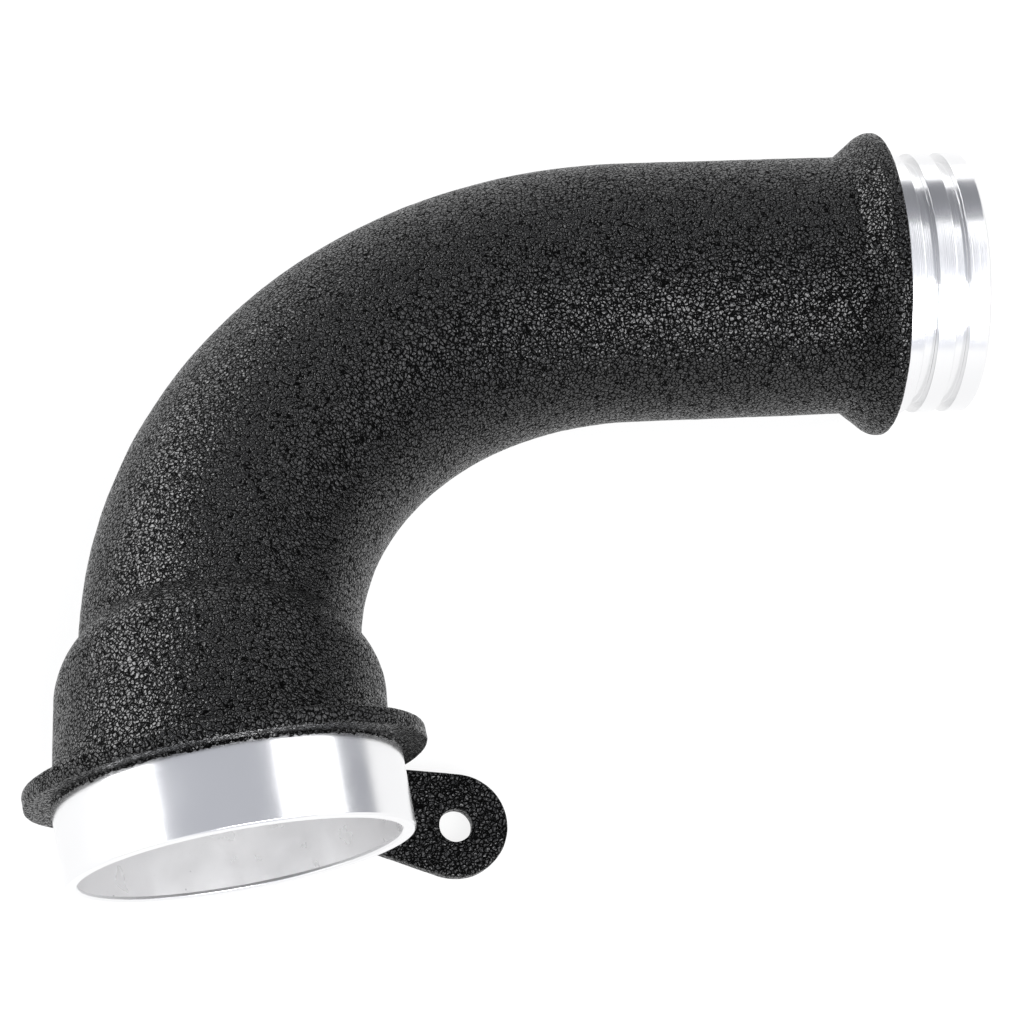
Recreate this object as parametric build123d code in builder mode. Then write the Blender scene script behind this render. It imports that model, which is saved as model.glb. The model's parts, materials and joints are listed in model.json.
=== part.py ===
from build123d import *
from math import atan2, tan
import os

# Turbo inlet pipe, cast in one piece and machined at both ends, lying on its back as it comes to rest.
# Sizes are in millimetres and degrees.

# How the pipe lies: the bend's plane turned from level about X, then about Y
lie_roll = -7.75
lie_pitch = -3.77

# Pipe, along its centre line from the flange's underside to the collar's face
pipe_d = 57.2
pipe_wall = 4.1
bend_radius = 95.9
bend_angle = 87.15
outlet_run = 56.5

# Sleeve round the neck, with a domed shoulder, and the rest of the neck above it
sleeve_d = 66.6
sleeve_side = 17.4
sleeve_height = 28.6
crease_fillet = 3.0
sleeve_wall = 4.0
core_drop = 1.6
neck_rest = 1.4

# Flange, askew to the sleeve
flange_d = 80.6
flange_thickness = 3.7
flange_yaw = 9.84
flange_tilt = 19.6
flange_shift = 1.0
flange_top_edge = 0.8
flange_low_edge = 0.5

# Large spigot
large_spigot_d = 70.0
large_spigot_length = 16.6
large_spigot_wall = 2.8
large_bore_floor = 1.8
large_rim_chamfer = 0.4

# Collar
collar_d = 67.4
collar_rim = 2.6
collar_flare = 6.3
flare_crest_radius = 4.0
collar_edge = 0.9

# Small spigot with two ring grooves
small_spigot_d = 58.0
root_land = 4.1
middle_land = 4.0
end_land = 4.7
groove_width = 2.9
groove_depth = 2.2
groove_floor = 2.3
small_end_chamfer = 0.6

# Mounting lug, a flat plate behind the flange
lug_thickness = 3.6
lug_setback = 35.6
lug_hole_d = 7.0
lug_reach = 49.6
lug_drop = 9.8
lug_end_radius = 11.0
lug_root_radius = 4.8
lug_length = 50.0
lug_slope = 21.65
lug_edge = 0.5

pipe_bore_d = pipe_d - 2 * pipe_wall
neck_run = sleeve_height + neck_rest
sleeve_root = sleeve_d / 4
groove_pitch = groove_width + middle_land
small_spigot_length = root_land + middle_land + end_land + 2 * groove_width
small_bore_d = small_spigot_d - 2 * (groove_depth + groove_floor)

# Two roundings end within the straight stretch beside them: the neck above the crease, and the collar's rim
shoulder = (sleeve_d - pipe_d) / 2
crease_room = ((neck_run - sleeve_side) ** 2 - (sleeve_height - sleeve_side) ** 2) / (2 * shoulder)
crease_radius = min(crease_fillet, 0.95 * crease_room)
flare_angle = atan2((collar_d - pipe_d) / 2, collar_flare)
crest_radius = min(flare_crest_radius, 0.95 * (collar_rim - collar_edge) / tan(flare_angle / 2))

# Planes: the bend's own, the neck's (Y along the sleeve), the flange's underside (Z outward), the lug's front
bend_plane = Plane(Location((0, 0, 0)) * Rot(lie_roll, lie_pitch, 0))
neck_plane = Plane(bend_plane.location * Rot(0, 0, bend_angle - 90))
start_plane = Plane(neck_plane.location * Rot(-90, 0, 0))
flange_plane = Plane(
    bend_plane.location
    * Rot(0, 0, bend_angle + flange_yaw - 90)
    * Pos(flange_shift, 0, 0)
    * Rot(90 + flange_tilt, 0, 0)
)
lug_plane = Plane(flange_plane.location * Pos(0, -lug_setback, 0) * Rot(-90, 0, 0))

# Centre line of the pipe
with BuildLine(bend_plane) as centre_line:
    neck = PolarLine((0, 0), neck_run, bend_angle)
    bend = JernArc(neck @ 1, neck % 1, bend_radius, -bend_angle)
    outlet = Line(bend @ 1, bend @ 1 + bend % 1 * outlet_run)

neck_axis = Axis(neck_plane.origin, neck_plane.y_dir)
flange_axis = Axis(flange_plane.origin, flange_plane.z_dir)
outlet_axis = Axis(outlet @ 1, outlet % 1)
outlet_plane = Plane(origin=outlet @ 1, x_dir=outlet % 1, z_dir=bend_plane.z_dir)
outlet_end = Plane(origin=outlet @ 1, z_dir=outlet % 1)

# Lug: a round end and a narrower root joined by two straight edges
with BuildPart() as lug:
    with BuildSketch(lug_plane):
        with Locations((lug_reach, -lug_drop)):
            Circle(lug_end_radius)
            with PolarLocations(lug_length, 1, 180 - lug_slope):
                Circle(lug_root_radius)
        make_hull()
    extrude(amount=-lug_thickness)
    lug_sides = lug.faces().filter_by(lug_plane)
    chamfer(lug_sides.edges(), lug_edge)
    with BuildSketch(lug_plane):
        with Locations((lug_reach, -lug_drop)):
            Circle(lug_hole_d / 2)
    extrude(amount=-lug_thickness, mode=Mode.SUBTRACT)

# Air way: the bore of the large spigot, the core of the sleeve, and the pipe's bore out to the small end
with BuildPart() as air_way:
    with BuildSketch(neck_plane):
        with BuildLine():
            core_top = (pipe_bore_d / 2, sleeve_height - core_drop)
            core_side = (sleeve_d / 2 - sleeve_wall, sleeve_side)
            core_foot = (sleeve_d / 2 - sleeve_wall, -sleeve_root)
            Polyline(
                core_side,
                core_top,
                (0, sleeve_height - core_drop),
                (0, -sleeve_root),
                core_foot,
                close=True,
            )
        make_face()
    revolve(axis=neck_axis)
    split(bisect_by=flange_plane.offset(-large_bore_floor), keep=Keep.BOTTOM)
    with BuildSketch(flange_plane.offset(-large_bore_floor)):
        Circle(large_spigot_d / 2 - large_spigot_wall)
    extrude(amount=large_bore_floor + large_spigot_length)
    with BuildSketch(start_plane):
        Circle(pipe_bore_d / 2)
    sweep(path=centre_line.wires()[0])
    with BuildSketch(outlet_end):
        Circle(small_bore_d / 2)
    extrude(amount=small_spigot_length)

# Flange, with its rim broken on both sides
with BuildPart() as flange:
    with BuildSketch(flange_plane):
        Circle(flange_d / 2)
    extrude(amount=-flange_thickness)
    flange_rims = flange.edges().filter_by(GeomType.CIRCLE).sort_by(flange_axis)
    chamfer(flange_rims[0], flange_top_edge)
    chamfer(flange_rims[-1], flange_low_edge)

with BuildPart() as inlet_pipe:
    # Sleeve with its domed shoulder, and the neck standing out of it
    with BuildSketch(neck_plane) as sleeve_profile:
        with BuildLine():
            side = (sleeve_d / 2, sleeve_side)
            crease = (pipe_d / 2, sleeve_height)
            TangentArc(side, crease, tangent=(0, 1))
            Polyline(
                crease,
                (pipe_d / 2, neck_run),
                (0, neck_run),
                (0, -sleeve_root),
                (sleeve_d / 2, -sleeve_root),
                side,
            )
        make_face()
        fillet(sleeve_profile.vertices().sort_by(Axis.Y)[-3], crease_radius)
    revolve(axis=neck_axis)
    split(bisect_by=flange_plane.offset(-flange_thickness / 2), keep=Keep.BOTTOM)

    # Flange and large spigot
    add(flange.part)
    with BuildSketch(flange_plane):
        Circle(large_spigot_d / 2)
    extrude(amount=large_spigot_length)

    # Bent pipe
    with BuildSketch(start_plane):
        Circle(pipe_d / 2)
    sweep(path=centre_line.wires()[0])

    # Flared collar and grooved small spigot
    with BuildSketch(outlet_plane) as outlet_profile:
        with BuildLine():
            Polyline(
                (-collar_rim - collar_flare, 0),
                (-collar_rim - collar_flare, pipe_d / 2),
                (-collar_rim, collar_d / 2),
                (0, collar_d / 2),
                (0, small_spigot_d / 2),
                (small_spigot_length, small_spigot_d / 2),
                (small_spigot_length, 0),
                close=True,
            )
        make_face()
        corners = outlet_profile.vertices().sort_by(Axis.X)
        fillet(corners[2], crest_radius)
        fillet(corners[3:5].sort_by(Axis.Y)[-1], collar_edge)
        chamfer(corners[-2:].sort_by(Axis.Y)[-1], small_end_chamfer)
        with Locations((root_land, small_spigot_d / 2), (root_land + groove_pitch, small_spigot_d / 2)):
            Rectangle(groove_width, 2 * groove_depth, align=(Align.MIN, Align.CENTER), mode=Mode.SUBTRACT)
    revolve(axis=outlet_axis)

    add(lug.part)
    add(air_way.part, mode=Mode.SUBTRACT)
    mouth = inlet_pipe.faces().filter_by(flange_plane).sort_by(flange_axis)[-1]
    chamfer(mouth.edges(), large_rim_chamfer)
    end_face = inlet_pipe.faces().sort_by(outlet_axis)[-1]
    chamfer(end_face.edges().sort_by(SortBy.RADIUS)[0], small_end_chamfer)

# Set down on the ground, the origin under the middle of its box
lying = inlet_pipe.part.bounding_box()
inlet_pipe.part.locate(Pos(-lying.center().X, -lying.center().Y, -lying.min.Z))

os.makedirs("parts", exist_ok=True)
inlet_pipe.part.label = "inlet_pipe"
export_step(inlet_pipe.part, "parts/inlet_pipe.step")
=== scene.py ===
"""Turbo inlet pipe: a casting with a black wrinkle coat and bare machined ends, on a white studio floor."""

import json
import math

import bpy
import numpy as np
from mathutils import Matrix, Vector, noise

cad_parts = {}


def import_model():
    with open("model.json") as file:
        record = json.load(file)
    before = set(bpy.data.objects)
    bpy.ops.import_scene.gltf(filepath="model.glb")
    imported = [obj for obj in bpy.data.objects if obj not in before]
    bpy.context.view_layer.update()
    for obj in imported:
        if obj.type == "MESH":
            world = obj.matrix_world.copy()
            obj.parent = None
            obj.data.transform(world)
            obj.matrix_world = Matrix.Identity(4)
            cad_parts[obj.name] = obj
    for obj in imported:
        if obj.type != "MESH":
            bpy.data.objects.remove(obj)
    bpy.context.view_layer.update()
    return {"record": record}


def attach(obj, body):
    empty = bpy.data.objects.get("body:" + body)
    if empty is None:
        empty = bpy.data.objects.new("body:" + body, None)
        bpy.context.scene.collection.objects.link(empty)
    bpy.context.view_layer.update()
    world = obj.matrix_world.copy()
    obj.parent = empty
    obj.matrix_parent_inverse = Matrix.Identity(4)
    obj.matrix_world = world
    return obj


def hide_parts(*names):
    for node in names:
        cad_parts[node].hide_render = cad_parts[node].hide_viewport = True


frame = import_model()
MM = 0.001

# Sizes of the casting, as in the CAD model

LIE_ROLL, LIE_PITCH = math.radians(-7.75), math.radians(-3.77)
PIPE_R, BORE_R = 28.6 * MM, 24.5 * MM
NECK_RUN, BEND_R, OUTLET_RUN = 30.0 * MM, 95.9 * MM, 56.5 * MM
BEND_ANGLE = math.radians(87.15)
SLEEVE_R, SLEEVE_SIDE, SLEEVE_HEIGHT, CREASE_FILLET = 33.3 * MM, 17.4 * MM, 28.6 * MM, 3.0 * MM
CORE_R, CORE_HEIGHT = 29.3 * MM, 27.0 * MM
FLANGE_R, FLANGE_THICKNESS, FLANGE_SHIFT = 40.3 * MM, 3.7 * MM, 1.0 * MM
FLANGE_YAW, FLANGE_TILT = math.radians(9.84), math.radians(19.6)
LARGE_R, LARGE_BORE_R, LARGE_LENGTH = 35.0 * MM, 32.2 * MM, 16.6 * MM
LARGE_FLOOR, LARGE_CHAMFER = 1.8 * MM, 0.4 * MM
COLLAR_R, COLLAR_RIM, COLLAR_FLARE = 33.7 * MM, 2.6 * MM, 6.3 * MM
FLARE_CREST, COLLAR_EDGE = 4.0 * MM, 0.9 * MM
SMALL_R, ROOT_LAND, MIDDLE_LAND, END_LAND = 29.0 * MM, 4.1 * MM, 4.0 * MM, 4.7 * MM
GROOVES, GROOVE_WIDTH, GROOVE_DEPTH, SMALL_CHAMFER = 2, 2.9 * MM, 2.2 * MM, 0.6 * MM
LUG_THICKNESS, LUG_HOLE_R, LUG_END_R, LUG_ROOT_R = 3.6 * MM, 3.5 * MM, 11.0 * MM, 4.8 * MM
LUG_LENGTH, LUG_SLOPE = 50.0 * MM, math.radians(21.65)
SMALL_LENGTH = ROOT_LAND + MIDDLE_LAND + END_LAND + 2 * GROOVE_WIDTH

# Small roundings, how deep each turned finish goes into its bore, the coat and the casting's unevenness

FLANGE_FILLET, FLANGE_TOP_EDGE, FLANGE_LOW_EDGE = 1.5 * MM, 1.0 * MM, 0.6 * MM
FLARE_FOOT, LUG_EDGE, LUG_HOLE_EDGE, TURNED_EDGE = 1.0 * MM, 0.7 * MM, 0.4 * MM, 0.12 * MM
LARGE_LIP, SMALL_MOUTH = 1.0 * MM, 6 * MM
COAT = 0.06 * MM
COAT_FOOT = 3 * COAT
CAST_WAVE, CAST_WAVE_SIZE = 0.08 * MM, 9.0 * MM
COAT_WAVE, COAT_WAVE_SIZE = 0.05 * MM, 2.2 * MM

# The coat's ragged edge on a spigot: its reach, its waves (frequency, share, seed), the small spigot's share,
# and its steps (height in coats, share of the reach)

MASK_REACH, MASK_RAGGED, SMALL_MASK = 0.65 * MM, 0.55 * MM, 0.6
MASK_WAVES = ((60, 1, 0), (19, 0.6, 7))
MASK_STEPS = ((1, 0.3), (1, 0.75), (0.5, 0.96), (-1, 1))

# Columns round each piece, the length of its rows, and the rows of its roundings

PIPE_COLUMNS, SLEEVE_COLUMNS, TURNED_COLUMNS, DUCT_COLUMNS, LUG_COLUMNS = 280, 360, 256, 160, 220
PIPE_ROW, COAT_ROW, DUCT_ROW = 0.56 * MM, 0.6 * MM, 1.4 * MM
FLANGE_EDGE_ROWS, FLANGE_FILLET_ROWS, FLANGE_TOP_ROWS = 6, 7, 6
COLLAR_EDGE_ROWS, TURNED_EDGE_ROWS, CORE_ROWS = 9, 4, 32
LUG_FACE_ROWS, LUG_EDGE_ROWS, LUG_END_POINTS, LUG_ROOT_POINTS = 22, 5, 90, 40
FLAT_LENGTH, FLAT_MARGIN, FOOT_STEP = 0.5 * MM, 0.06 * MM, 0.2 * MM
NECK_LOWEST, NECK_HIGHEST, NECK_HALVINGS = -25 * MM, 40 * MM, 40

# Where the casting's axes run

bend_axes = np.array(Matrix.Rotation(LIE_ROLL, 3, "X") @ Matrix.Rotation(LIE_PITCH, 3, "Y"))
OUT, ACROSS, SIDE = bend_axes.T


def in_bend(angle):
    """Direction in the bend's plane, at an angle from the outlet's."""
    return math.cos(angle) * OUT + math.sin(angle) * ACROSS


mounts = {m["name"]: np.array(m["pos_m"]) for m in frame["record"]["mounts"]}
COLLAR_FACE = mounts["small_spigot"] - OUT * (SMALL_LENGTH - SMALL_CHAMFER) / 2
BEND_CENTRE = COLLAR_FACE - OUT * OUTLET_RUN - ACROSS * BEND_R
NECK, NECK_OUTER = in_bend(BEND_ANGLE), in_bend(BEND_ANGLE + math.pi / 2)
NECK_START = BEND_CENTRE + NECK_OUTER * BEND_R - NECK * NECK_RUN
FLANGE_X = in_bend(BEND_ANGLE + FLANGE_YAW - math.pi / 2)
flange_up = in_bend(BEND_ANGLE + FLANGE_YAW)
FLANGE_IN = math.cos(FLANGE_TILT) * flange_up + math.sin(FLANGE_TILT) * SIDE
FLANGE_BACK = math.sin(FLANGE_TILT) * flange_up - math.cos(FLANGE_TILT) * SIDE
FLANGE_CENTRE = NECK_START + FLANGE_X * FLANGE_SHIFT
LUG_CENTRE = mounts["lug_hole"]


# Profiles and rings

def unit(v):
    return v / np.linalg.norm(v, axis=-1, keepdims=True)


def around(columns):
    return np.linspace(0, 2 * math.pi, columns, endpoint=False)


def corner_arc(corner, before, after, radius, count):
    """Points of an arc of this radius that rounds a corner, from the side of before to the side of after."""
    a, b = unit(before - corner), unit(after - corner)
    half = np.arccos(np.clip(np.sum(a * b, -1, keepdims=True), -1, 1)) / 2
    centre = corner + unit(a + b) * radius / np.sin(half)
    start = corner + a * radius / np.tan(half) - centre
    end = corner + b * radius / np.tan(half) - centre
    sweep = math.pi - 2 * half
    return [
        centre + (np.sin(sweep * (1 - t)) * start + np.sin(sweep * t) * end) / np.sin(sweep)
        for t in np.linspace(0, 1, count)
    ]


def rounded(corners, radii, count):
    """A profile's corners, each but the first and the last rounded by its radius."""
    corners = [np.array(c, float) for c in corners]
    points = [corners[0]]
    for before, corner, after, radius in zip(corners, corners[1:], corners[2:], radii):
        points += corner_arc(corner, before, after, radius, count)
    return np.array(points + [corners[-1]])


def spaced(points, step):
    """A profile's points with no gap longer than step."""
    parts = []
    for a, b in zip(points[:-1], points[1:]):
        n = max(1, math.ceil(np.linalg.norm(b - a) / step))
        parts.append(a + (b - a) * np.linspace(0, 1, n, endpoint=False)[:, None])
    return np.concatenate(parts + [points[-1:]])


def revolved(profile, columns):
    """Rings of a profile of (radius, height) turned about Z."""
    a = around(columns)
    r, z = profile[:, :1], profile[:, 1:]
    return np.stack([r * np.cos(a), r * np.sin(a), z + 0 * a], -1)


def placed(rings, origin, x, y, z):
    return origin + rings[..., :1] * x + rings[..., 1:2] * y + rings[..., 2:] * z


def station(run, radius, columns):
    """Ring of the pipe at a distance along its centre line."""
    turned = min(max((run - NECK_RUN) / BEND_R, 0), BEND_ANGLE)
    outer = in_bend(BEND_ANGLE - turned + math.pi / 2)
    ahead = in_bend(BEND_ANGLE - turned)
    straight = run - NECK_RUN - turned * BEND_R
    a = around(columns)[:, None]
    return BEND_CENTRE + outer * BEND_R + ahead * straight + radius * (np.cos(a) * outer + np.sin(a) * SIDE)


def neck_points(run, radius, columns):
    """Points round the neck's axis, at a distance along it and a radius for each column."""
    a = around(columns)[:, None]
    return NECK_START + np.reshape(run, (-1, 1)) * NECK + np.reshape(radius, (-1, 1)) * (
        np.cos(a) * NECK_OUTER + np.sin(a) * SIDE
    )


def sleeve_radius(run):
    """The sleeve's outside: straight, then a dome that a fillet joins to the pipe."""
    rise, reach = SLEEVE_R - PIPE_R, SLEEVE_HEIGHT - SLEEVE_SIDE
    dome = (rise**2 + reach**2) / (2 * rise)
    axis = SLEEVE_R - dome
    fillet_at = SLEEVE_SIDE + math.sqrt((dome + CREASE_FILLET) ** 2 - (PIPE_R + CREASE_FILLET - axis) ** 2)
    dome_end = SLEEVE_SIDE + dome * (fillet_at - SLEEVE_SIDE) / (dome + CREASE_FILLET)
    on_dome = axis + np.sqrt(dome**2 - (np.clip(run, SLEEVE_SIDE, dome_end) - SLEEVE_SIDE) ** 2)
    on_fillet = np.sqrt(CREASE_FILLET**2 - (np.clip(run, dome_end, fillet_at) - fillet_at) ** 2)
    return np.where(run < dome_end, on_dome, PIPE_R + CREASE_FILLET - on_fillet)


def core_radius(run):
    """The sleeve's inside: straight, then tapering to the pipe's bore."""
    return np.interp(run, [SLEEVE_SIDE, CORE_HEIGHT], [CORE_R, BORE_R])


def neck_run_at(level, radius, columns):
    """How far along the neck each column of a surface meets a level above the flange's underside."""
    low, high = np.full(columns, NECK_LOWEST), np.full(columns, NECK_HIGHEST)
    for _ in range(NECK_HALVINGS):
        middle = (low + high) / 2
        above = (neck_points(middle, radius(middle), columns) - FLANGE_CENTRE) @ FLANGE_IN > level
        low, high = np.where(above, low, middle), np.where(above, middle, high)
    return middle


def flange_ring(points, radius, level):
    """Ring round the flange's axis, each point at the same bearing as the given one."""
    bearing = points - FLANGE_CENTRE
    bearing = unit(bearing - (bearing @ FLANGE_IN)[:, None] * FLANGE_IN)
    return FLANGE_CENTRE + FLANGE_IN * np.reshape(level, (-1, 1)) + np.reshape(radius, (-1, 1)) * bearing


def mask_edge(columns):
    """How far the coat's ragged edge reaches along a bare spigot, for each column."""
    ragged = [
        sum(share * noise.noise((n * math.cos(t), n * math.sin(t), seed)) for n, share, seed in MASK_WAVES)
        for t in around(columns)
    ]
    return MASK_REACH + MASK_RAGGED * np.array(ragged)


def uneven(rings):
    """Rings with the casting's slow waves and the coat's own, moved along the normals."""
    along = np.gradient(rings, axis=0)
    across = np.roll(rings, -1, axis=1) - np.roll(rings, 1, axis=1)
    normal = unit(np.cross(across, along))
    flat = rings.reshape(-1, 3)
    slow = np.array([noise.noise(p) for p in (flat / CAST_WAVE_SIZE).tolist()])
    quick = np.array([noise.noise(p) for p in (flat / COAT_WAVE_SIZE).tolist()])
    height = (CAST_WAVE * slow + COAT_WAVE * quick).reshape(rings.shape[:2])
    return rings + normal * height[..., None]


# Materials: scales are per metre, and a spread is the range of a texture that its roughness range spans

WARP_SCALE, WARP_DETAIL, WARP_REACH = 700, 1, 1.4 * MM
CELL_SCALE, CRACK_WIDTH = 1120, 0.21
LUMP_SCALE, LUMP_DETAIL, LUMP_HEIGHT = 1500, 1, 1.3
WRINKLE_BUMP, WRINKLE_DEPTH = 1, 0.25 * MM
# The coat's colour and shine run from the cracks to the cell tops: the cracks' darker colour and near-zero
# shine are painted shade
COAT_CRACK_SHADE_COLOURS = ((0, (0.001, 0.001, 0.001, 1)), (1, (0.004, 0.004, 0.0041, 1)))
COAT_ROUGHNESS, COAT_SHINE_SPREAD, COAT_SHINE = (0.45, 0.2), (0.15, 1), (0.01, 0.5)

TURNED_COLOUR, TURNED_ANISOTROPY = (0.82, 0.82, 0.825, 1), 0.5
RING_SCALE, RING_DETAIL, RING_BUMP, RING_DEPTH = 5000, 3, 0.5, 0.01 * MM
BLOTCH_SCALE, BLOTCH_DETAIL = 90, 4
TURNED_SPREAD, TURNED_ROUGHNESS = (0.6, 1.4), (0.12, 0.24)

CAST_COLOUR = (0.72, 0.725, 0.73, 1)
CAST_SCALE, CAST_DETAIL, CAST_BUMP, CAST_DEPTH = 900, 4, 0.4, 0.1 * MM
CAST_SPREAD, CAST_ROUGHNESS = (0.3, 0.7), (0.38, 0.55)

BORED_METALLIC, SPECK_SCALE = 0.55, 1500
BORED_COLOURS = ((0.07, (0.6, 0.59, 0.58, 1)), (0.11, (0.7, 0.695, 0.695, 1)))
BORED_SCALE, BORED_DETAIL = 160, 3
BORED_SPREAD, BORED_ROUGHNESS = (0.35, 0.65), (0.26, 0.42)


def material(name):
    mat = bpy.data.materials.new(name)
    mat.use_nodes = True
    nodes = mat.node_tree.nodes
    return mat, nodes, mat.node_tree.links, nodes["Principled BSDF"]


def mapped(nodes, links, value, spread, span, smooth=False):
    """A value mapped from the range spread to the range span."""
    node = nodes.new("ShaderNodeMapRange")
    node.interpolation_type = "SMOOTHSTEP" if smooth else "LINEAR"
    for socket, number in zip(("From Min", "From Max", "To Min", "To Max"), (*spread, *span)):
        node.inputs[socket].default_value = number
    links.new(value, node.inputs["Value"])
    return node.outputs["Result"]


def math_node(nodes, links, operation, a, b):
    node = nodes.new("ShaderNodeMath")
    node.operation = operation
    for socket, value in zip(node.inputs, (a, b)):
        if isinstance(value, (int, float)):
            socket.default_value = value
        else:
            links.new(value, socket)
    return node.outputs[0]


def noise_at(nodes, links, place, scale, detail):
    node = nodes.new("ShaderNodeTexNoise")
    node.inputs["Scale"].default_value = scale
    node.inputs["Detail"].default_value = detail
    links.new(place, node.inputs["Vector"])
    return node


def bumped(nodes, links, shader, height, strength, depth):
    node = nodes.new("ShaderNodeBump")
    node.inputs["Strength"].default_value = strength
    node.inputs["Distance"].default_value = depth
    links.new(height, node.inputs["Height"])
    links.new(node.outputs["Normal"], shader.inputs["Normal"])


def coloured(nodes, links, shader, value, stops):
    node = nodes.new("ShaderNodeValToRGB")
    for element, (position, colour) in zip(node.color_ramp.elements, stops):
        element.position, element.color = position, colour
    links.new(value, node.inputs["Fac"])
    links.new(node.outputs["Color"], shader.inputs["Base Color"])


def wrinkle_coat():
    """Black wrinkle coat: domed cells about a millimetre wide, split by fine cracks that are painted darker
    and given almost no shine, as painted shade.
    """
    mat, nodes, links, shader = material("wrinkle_coat")
    place = nodes.new("ShaderNodeTexCoord").outputs["Object"]
    warp = noise_at(nodes, links, place, WARP_SCALE, WARP_DETAIL)
    bent = nodes.new("ShaderNodeVectorMath")
    bent.operation = "MULTIPLY_ADD"
    bent.inputs[1].default_value = (WARP_REACH, WARP_REACH, WARP_REACH)
    links.new(warp.outputs["Color"], bent.inputs[0])
    links.new(place, bent.inputs[2])
    cells = nodes.new("ShaderNodeTexVoronoi")
    cells.feature = "DISTANCE_TO_EDGE"
    cells.inputs["Scale"].default_value = CELL_SCALE
    links.new(bent.outputs[0], cells.inputs["Vector"])
    tops = mapped(nodes, links, cells.outputs["Distance"], (0, CRACK_WIDTH), (0, 1), smooth=True)
    lumps = noise_at(nodes, links, place, LUMP_SCALE, LUMP_DETAIL)
    lumps = math_node(nodes, links, "MULTIPLY", lumps.outputs["Fac"], LUMP_HEIGHT)
    height = math_node(nodes, links, "ADD", tops, lumps)
    bumped(nodes, links, shader, height, WRINKLE_BUMP, WRINKLE_DEPTH)
    # Painted shade: the cracks are coloured darker than the cell tops and given almost no shine
    coloured(nodes, links, shader, tops, COAT_CRACK_SHADE_COLOURS)
    links.new(mapped(nodes, links, tops, (0, 1), COAT_ROUGHNESS), shader.inputs["Roughness"])
    shine = mapped(nodes, links, tops, COAT_SHINE_SPREAD, COAT_SHINE)
    links.new(shine, shader.inputs["Specular IOR Level"])
    return mat


def machined_aluminium():
    """Bare turned aluminium: fine rings round the local Z axis, in a slightly blotched polish."""
    mat, nodes, links, shader = material("machined_aluminium")
    shader.inputs["Base Color"].default_value = TURNED_COLOUR
    shader.inputs["Metallic"].default_value = 1
    shader.inputs["Anisotropic"].default_value = TURNED_ANISOTROPY
    tangent = nodes.new("ShaderNodeTangent")
    tangent.direction_type = "RADIAL"
    tangent.axis = "Z"
    links.new(tangent.outputs["Tangent"], shader.inputs["Tangent"])
    place = nodes.new("ShaderNodeTexCoord").outputs["Object"]
    split = nodes.new("ShaderNodeSeparateXYZ")
    links.new(place, split.inputs[0])
    rings = nodes.new("ShaderNodeTexNoise")
    rings.noise_dimensions = "1D"
    rings.inputs["Scale"].default_value = RING_SCALE
    rings.inputs["Detail"].default_value = RING_DETAIL
    links.new(split.outputs["Z"], rings.inputs["W"])
    blotch = noise_at(nodes, links, place, BLOTCH_SCALE, BLOTCH_DETAIL)
    mixed = math_node(nodes, links, "ADD", rings.outputs["Fac"], blotch.outputs["Fac"])
    links.new(mapped(nodes, links, mixed, TURNED_SPREAD, TURNED_ROUGHNESS), shader.inputs["Roughness"])
    bumped(nodes, links, shader, rings.outputs["Fac"], RING_BUMP, RING_DEPTH)
    return mat


def cast_aluminium():
    """Bare as-cast aluminium inside the pipe: dull, with a fine grain."""
    mat, nodes, links, shader = material("cast_aluminium")
    shader.inputs["Base Color"].default_value = CAST_COLOUR
    shader.inputs["Metallic"].default_value = 1
    place = nodes.new("ShaderNodeTexCoord").outputs["Object"]
    grain = noise_at(nodes, links, place, CAST_SCALE, CAST_DETAIL).outputs["Fac"]
    links.new(mapped(nodes, links, grain, CAST_SPREAD, CAST_ROUGHNESS), shader.inputs["Roughness"])
    bumped(nodes, links, shader, grain, CAST_BUMP, CAST_DEPTH)
    return mat


def bored_aluminium():
    """The large bore's wall: cleaned with a coarser tool, so paler and duller, with fine dark specks."""
    mat, nodes, links, shader = material("bored_aluminium")
    shader.inputs["Metallic"].default_value = BORED_METALLIC
    place = nodes.new("ShaderNodeTexCoord").outputs["Object"]
    specks = nodes.new("ShaderNodeTexVoronoi")
    specks.inputs["Scale"].default_value = SPECK_SCALE
    links.new(place, specks.inputs["Vector"])
    coloured(nodes, links, shader, specks.outputs["Distance"], BORED_COLOURS)
    grain = noise_at(nodes, links, place, BORED_SCALE, BORED_DETAIL).outputs["Fac"]
    links.new(mapped(nodes, links, grain, BORED_SPREAD, BORED_ROUGHNESS), shader.inputs["Roughness"])
    return mat


COATED, TURNED, BORED, CAST = wrinkle_coat(), machined_aluminium(), bored_aluminium(), cast_aluminium()


# Pieces

def axes_matrix(origin, x, y, z):
    m = Matrix.Identity(4)
    for i, column in enumerate((x, y, z, origin)):
        for j in range(3):
            m[j][i] = column[j]
    return m


def piece(name, rings, mat, flip=False, matrix=None):
    """A smooth mesh through closed rings of points, which takes the CAD casting's place."""
    rows, columns = rings.shape[:2]
    i = np.arange(rows * columns).reshape(rows, columns)
    j = np.roll(i, -1, axis=1)
    quads = np.stack([i[:-1], j[:-1], j[1:], i[1:]], -1).reshape(-1, 4)
    mesh = bpy.data.meshes.new(name)
    mesh.from_pydata(rings.reshape(-1, 3).tolist(), [], (quads[:, ::-1] if flip else quads).tolist())
    mesh.polygons.foreach_set("use_smooth", [True] * len(mesh.polygons))
    mesh.materials.append(mat)
    obj = bpy.data.objects.new(name, mesh)
    if matrix is not None:
        obj.matrix_world = matrix
    bpy.context.scene.collection.objects.link(obj)
    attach(obj, "root")
    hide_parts("inlet_pipe")


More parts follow.
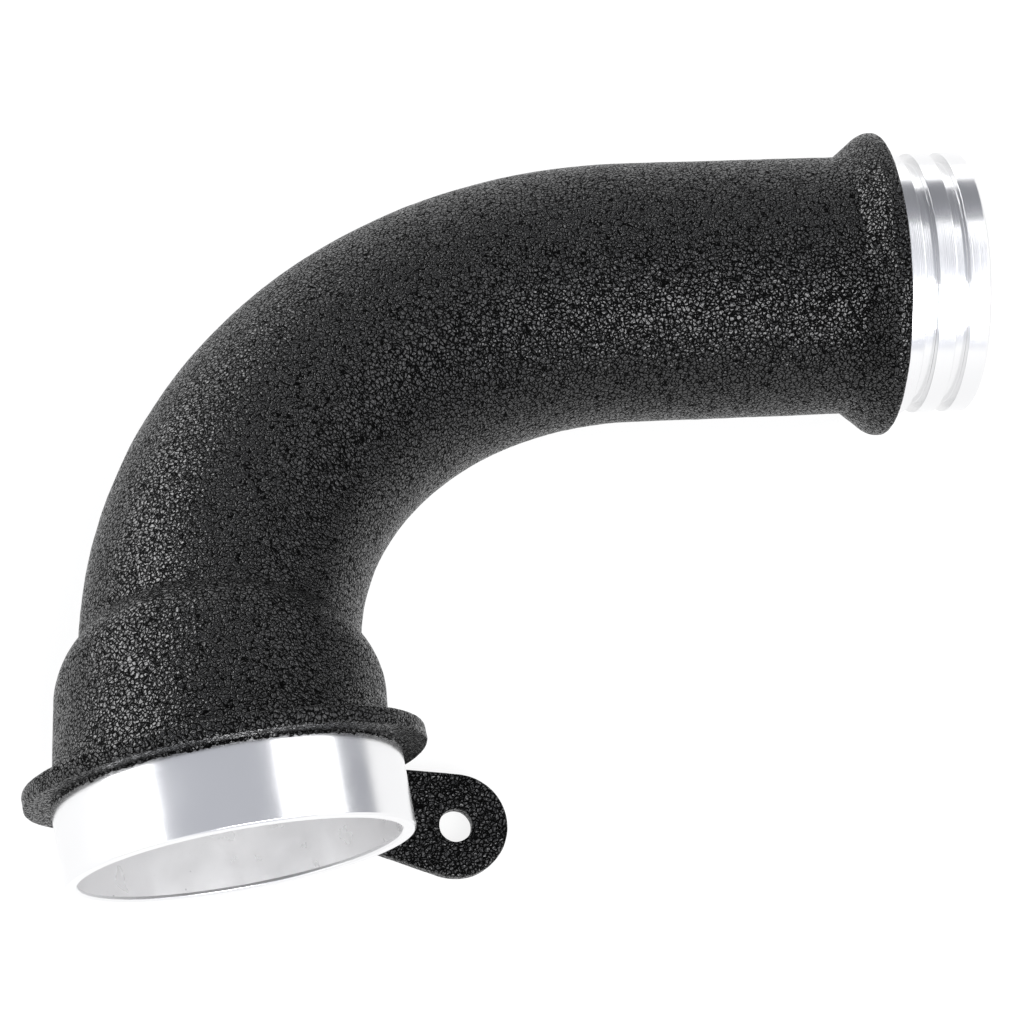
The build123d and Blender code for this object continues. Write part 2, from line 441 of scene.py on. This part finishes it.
def coated_sleeve():
    """From the coat's edge on the large spigot, round the flange, up the sleeve and over its shoulder."""
    n = SLEEVE_COLUMNS
    start = neck_run_at(FLANGE_THICKNESS, sleeve_radius, n)
    foot = neck_points(start, sleeve_radius(start), n)
    ahead = neck_points(start + FOOT_STEP, sleeve_radius(start + FOOT_STEP), n)
    rim = flange_ring(foot, FLANGE_R, FLANGE_THICKNESS)
    fillet = corner_arc(foot, rim, ahead, FLANGE_FILLET, FLANGE_FILLET_ROWS)
    edge = mask_edge(n)
    rings = [
        flange_ring(foot, LARGE_R + coats * COAT, -edge * reach)
        for coats, reach in reversed(MASK_STEPS)
    ]
    section = rounded(
        [
            (LARGE_R + COAT_FOOT, 0),
            (FLANGE_R, 0),
            (FLANGE_R, FLANGE_THICKNESS),
            (LARGE_R, FLANGE_THICKNESS),
        ],
        [FLANGE_LOW_EDGE, FLANGE_TOP_EDGE],
        FLANGE_EDGE_ROWS,
    )
    rings += [flange_ring(foot, r, z) for r, z in spaced(section[:-1], COAT_ROW)]
    last = rings[-1]
    for t in np.linspace(0, 1, FLANGE_TOP_ROWS)[1:-1]:
        rings.append(last + (fillet[0] - last) * t)
    rings += fillet
    begin = start + (fillet[-1] - foot) @ NECK
    rows = math.ceil((NECK_RUN - begin.min()) / COAT_ROW)
    for t in np.linspace(0, 1, rows)[1:]:
        run = begin + (NECK_RUN - begin) * t
        rings.append(neck_points(run, sleeve_radius(run), n))
    piece("coated_sleeve", uneven(np.array(rings)), COATED)


def coated_pipe():
    """The neck, the bend and the outlet, up to the collar's flare."""
    end = NECK_RUN + BEND_R * BEND_ANGLE + OUTLET_RUN - COLLAR_RIM - COLLAR_FLARE - FLARE_FOOT
    runs = np.linspace(NECK_RUN, end, math.ceil((end - NECK_RUN) / PIPE_ROW))
    rings = np.array([station(run, PIPE_R, PIPE_COLUMNS) for run in runs])
    piece("coated_pipe", uneven(rings), COATED)


def coated_collar():
    """The flare, the collar's rim and its face, to the coat's edge on the small spigot."""
    n = PIPE_COLUMNS
    section = rounded(
        [
            (PIPE_R, -COLLAR_RIM - COLLAR_FLARE - FLARE_FOOT),
            (PIPE_R, -COLLAR_RIM - COLLAR_FLARE),
            (COLLAR_R, -COLLAR_RIM),
            (COLLAR_R, 0),
            (SMALL_R + COAT_FOOT, 0),
        ],
        [FLARE_FOOT, FLARE_CREST, COLLAR_EDGE],
        COLLAR_EDGE_ROWS,
    )
    rings = revolved(spaced(section, COAT_ROW), n)
    a, edge = around(n), mask_edge(n) * SMALL_MASK
    for coats, reach in MASK_STEPS:
        r = SMALL_R + coats * COAT
        ring = np.stack([r * np.cos(a), r * np.sin(a), edge * reach], -1)
        rings = np.concatenate([rings, ring[None]])
    piece("coated_collar", uneven(placed(rings, COLLAR_FACE, ACROSS, SIDE, OUT)), COATED)


def turned_rings(corners):
    """Rings of a turned profile, with close rows beside each broken edge so that the faces stay flat."""
    points = rounded(corners, [TURNED_EDGE] * (len(corners) - 2), TURNED_EDGE_ROWS)
    rows = [points[0]]
    for a, b in zip(points[:-1], points[1:]):
        length = np.linalg.norm(b - a)
        if length > FLAT_LENGTH:
            margin = FLAT_MARGIN / length
            rows += [a + (b - a) * t for t in (margin, 0.5, 1 - margin)]
        rows.append(b)
    return revolved(np.array(rows), TURNED_COLUMNS)


def large_spigot():
    """The machined large spigot, and the wall of its bore as a piece of its own."""
    end, chamfer = -LARGE_LENGTH, LARGE_CHAMFER
    corners = [
        (LARGE_BORE_R, end + LARGE_LIP),
        (LARGE_BORE_R, end + chamfer),
        (LARGE_BORE_R + chamfer, end),
        (LARGE_R - chamfer, end),
        (LARGE_R, end + chamfer),
        (LARGE_R, 0),
    ]
    matrix = axes_matrix(FLANGE_CENTRE, FLANGE_X, FLANGE_BACK, FLANGE_IN)
    bore = turned_rings([(LARGE_BORE_R, LARGE_FLOOR), (LARGE_BORE_R, end + LARGE_LIP)])
    piece("large_bore", bore, BORED, matrix=matrix)
    piece("large_spigot", turned_rings(corners), TURNED, matrix=matrix)


def small_spigot():
    """The machined small spigot with its two ring grooves and the mouth of its bore."""
    corners = [(SMALL_R, 0)]
    groove_r, at = SMALL_R - GROOVE_DEPTH, ROOT_LAND
    for _ in range(GROOVES):
        far = at + GROOVE_WIDTH
        corners += [(SMALL_R, at), (groove_r, at), (groove_r, far), (SMALL_R, far)]
        at += GROOVE_WIDTH + MIDDLE_LAND
    end, chamfer = SMALL_LENGTH, SMALL_CHAMFER
    corners += [
        (SMALL_R, end - chamfer),
        (SMALL_R - chamfer, end),
        (BORE_R + chamfer, end),
        (BORE_R, end - chamfer),
        (BORE_R, end - SMALL_MOUTH),
    ]
    matrix = axes_matrix(COLLAR_FACE, ACROSS, SIDE, OUT)
    piece("small_spigot", turned_rings(corners), TURNED, matrix=matrix)


def duct():
    """The casting's inside, from the floor of the large bore to the mouth of the small end."""
    n = DUCT_COLUMNS
    start = neck_run_at(LARGE_FLOOR, core_radius, n)
    mouth = neck_points(start, core_radius(start), n)
    rings = [flange_ring(mouth, LARGE_BORE_R, LARGE_FLOOR), mouth]
    for t in np.linspace(0, 1, CORE_ROWS)[1:]:
        run = start + (NECK_RUN - start) * t
        rings.append(neck_points(run, core_radius(run), n))
    end = NECK_RUN + BEND_R * BEND_ANGLE + OUTLET_RUN + SMALL_LENGTH - SMALL_MOUTH
    runs = np.linspace(NECK_RUN, end, math.ceil((end - NECK_RUN) / DUCT_ROW))
    rings += [station(run, BORE_R, n) for run in runs[1:]]
    piece("duct", uneven(np.array(rings)), CAST, flip=True)


def lug_outline(inset):
    """Outline of the lug about its hole, (columns, 2): a large and a small round end joined by tangents."""
    lean = math.asin((LUG_END_R - LUG_ROOT_R) / LUG_LENGTH)
    turn = math.pi / 2 + lean
    root = LUG_LENGTH * np.array([-math.cos(LUG_SLOPE), math.sin(LUG_SLOPE)])
    tip = np.linspace(-turn, turn, LUG_END_POINTS)
    back = np.linspace(turn, 2 * math.pi - turn, LUG_ROOT_POINTS)
    points = np.concatenate(
        [
            np.stack([np.cos(tip - LUG_SLOPE), np.sin(tip - LUG_SLOPE)], 1) * (LUG_END_R - inset),
            np.stack([np.cos(back - LUG_SLOPE), np.sin(back - LUG_SLOPE)], 1) * (LUG_ROOT_R - inset) + root,
        ]
    )
    loop = np.concatenate([points, points[:1]])
    length = np.concatenate([[0], np.cumsum(np.linalg.norm(np.diff(loop, axis=0), axis=1))])
    at = np.linspace(0, length[-1], LUG_COLUMNS, endpoint=False)
    return np.stack([np.interp(at, length, loop[:, k]) for k in (0, 1)], 1)


def coated_lug():
    """The flat lug with its round end, rounded edges and bolt hole."""
    half = LUG_THICKNESS / 2
    bearing = unit(lug_outline(0))
    inner, rim = bearing * (LUG_HOLE_R + LUG_HOLE_EDGE), lug_outline(LUG_EDGE)
    arc = [(1 - math.sin(a), 1 - math.cos(a)) for a in np.radians(np.linspace(0, 90, LUG_EDGE_ROWS))]
    hole = [
        (bearing * (LUG_HOLE_R + LUG_HOLE_EDGE * inset), half - LUG_HOLE_EDGE * drop)
        for inset, drop in arc[::-1]
    ]
    face = [(inner + (rim - inner) * t, half) for t in np.linspace(0, 1, LUG_FACE_ROWS)[1:]]
    side = [(lug_outline(LUG_EDGE * inset), half - LUG_EDGE * drop) for inset, drop in arc[1:]]
    front = hole + face + side
    loop = front + [(line, -z) for line, z in front[::-1]] + [front[0]]
    rings = np.array([np.concatenate([line, np.full((LUG_COLUMNS, 1), z)], 1) for line, z in loop])
    rings = placed(rings, LUG_CENTRE, FLANGE_X, FLANGE_IN, -FLANGE_BACK)
    piece("coated_lug", uneven(rings), COATED, flip=True)


coated_sleeve()
coated_pipe()
coated_collar()
coated_lug()
large_spigot()
small_spigot()
duct()


# Studio: white floor, soft lamps, and the photograph's camera

FLOOR_SIZE, FLOOR_GLOW, FLOOR_WHITE = 6.0, 0.86, 0.16
WORLD_TINT, WORLD_FRONT, WORLD_BACK, WORLD_FADE = (0.90, 0.92, 1.0, 1), 0.9, 0.3, 0.7
CAMERA_AT = Vector((-0.134357, -0.341245, 0.653047))
CAMERA_RIGHT = Vector((0.982939, -0.091067, 0.159805))
CAMERA_UP = Vector((0.003012, 0.876679, 0.481067))
CAMERA_LENS, SENSOR, CLIP_NEAR, CLIP_FAR = 119.64, 36.0, 0.01, 20
# Each lamp: name, place, aim, width, height, watts
LAMPS = (
    ("left_softbox", (-0.85, -0.1, 0.3), (-0.05, -0.02, 0.04), 1.0, 0.5, 4.5),
    ("left_back_softbox", (-0.7, 0.55, 0.24), (-0.05, 0.0, 0.04), 0.7, 0.45, 9),
    ("back_softbox", (0.15, 1.0, 0.22), (0.0, 0.02, 0.04), 1.3, 0.35, 2.2),
    ("right_softbox", (0.6, 0.0, 0.76), (-0.06, -0.07, 0.04), 0.9, 0.72, 4.6),
    ("front_softbox", (0.12, -0.74, 0.6), (0.04, 0.02, 0.04), 0.6, 0.65, 11),
)


def floor():
    """White floor that shows its own glow to the camera and in the metal, and keeps the casting's shadow."""
    mesh = bpy.data.meshes.new("floor")
    h = FLOOR_SIZE / 2
    mesh.from_pydata([(-h, -h, 0), (h, -h, 0), (h, h, 0), (-h, h, 0)], [], [(0, 1, 2, 3)])
    mat, nodes, links, shader = material("floor")
    nodes.remove(shader)
    white = nodes.new("ShaderNodeBsdfDiffuse")
    white.inputs["Color"].default_value = (FLOOR_WHITE, FLOOR_WHITE, FLOOR_WHITE, 1)
    glow = nodes.new("ShaderNodeEmission")
    path = nodes.new("ShaderNodeLightPath")
    seen = math_node(nodes, links, "MAXIMUM", path.outputs["Is Camera Ray"], path.outputs["Is Glossy Ray"])
    seen = math_node(nodes, links, "MAXIMUM", seen, path.outputs["Is Transmission Ray"])
    links.new(math_node(nodes, links, "MULTIPLY", seen, FLOOR_GLOW), glow.inputs["Strength"])
    both = nodes.new("ShaderNodeAddShader")
    links.new(white.outputs[0], both.inputs[0])
    links.new(glow.outputs[0], both.inputs[1])
    links.new(both.outputs[0], nodes["Material Output"].inputs["Surface"])
    mesh.materials.append(mat)
    obj = bpy.data.objects.new("floor", mesh)
    bpy.context.scene.collection.objects.link(obj)


def lamp(name, place, aim, width, height, watts):
    light = bpy.data.lights.new(name, "AREA")
    light.shape = "RECTANGLE"
    light.size, light.size_y, light.energy = width, height, watts
    obj = bpy.data.objects.new(name, light)
    obj.location = place
    obj.rotation_euler = (Vector(aim) - Vector(place)).to_track_quat("-Z", "Y").to_euler()
    bpy.context.scene.collection.objects.link(obj)


def camera():
    data = bpy.data.cameras.new("camera")
    data.sensor_width, data.lens = SENSOR, CAMERA_LENS
    data.clip_start, data.clip_end = CLIP_NEAR, CLIP_FAR
    obj = bpy.data.objects.new("camera", data)
    obj.matrix_world = axes_matrix(CAMERA_AT, CAMERA_RIGHT, CAMERA_UP, CAMERA_RIGHT.cross(CAMERA_UP))
    bpy.context.scene.collection.objects.link(obj)
    bpy.context.scene.camera = obj


def world():
    """Even studio light, stronger from the front than from the back."""
    sky = bpy.data.worlds.new("studio")
    sky.use_nodes = True
    nodes, links = sky.node_tree.nodes, sky.node_tree.links
    split = nodes.new("ShaderNodeSeparateXYZ")
    links.new(nodes.new("ShaderNodeTexCoord").outputs["Generated"], split.inputs[0])
    fade = mapped(nodes, links, split.outputs["Y"], (-WORLD_FADE, WORLD_FADE), (WORLD_FRONT, WORLD_BACK))
    nodes["Background"].inputs["Color"].default_value = WORLD_TINT
    links.new(fade, nodes["Background"].inputs["Strength"])
    bpy.context.scene.world = sky


floor()
for settings in LAMPS:
    lamp(*settings)
camera()
world()
bpy.context.scene.view_settings.view_transform = "Standard"
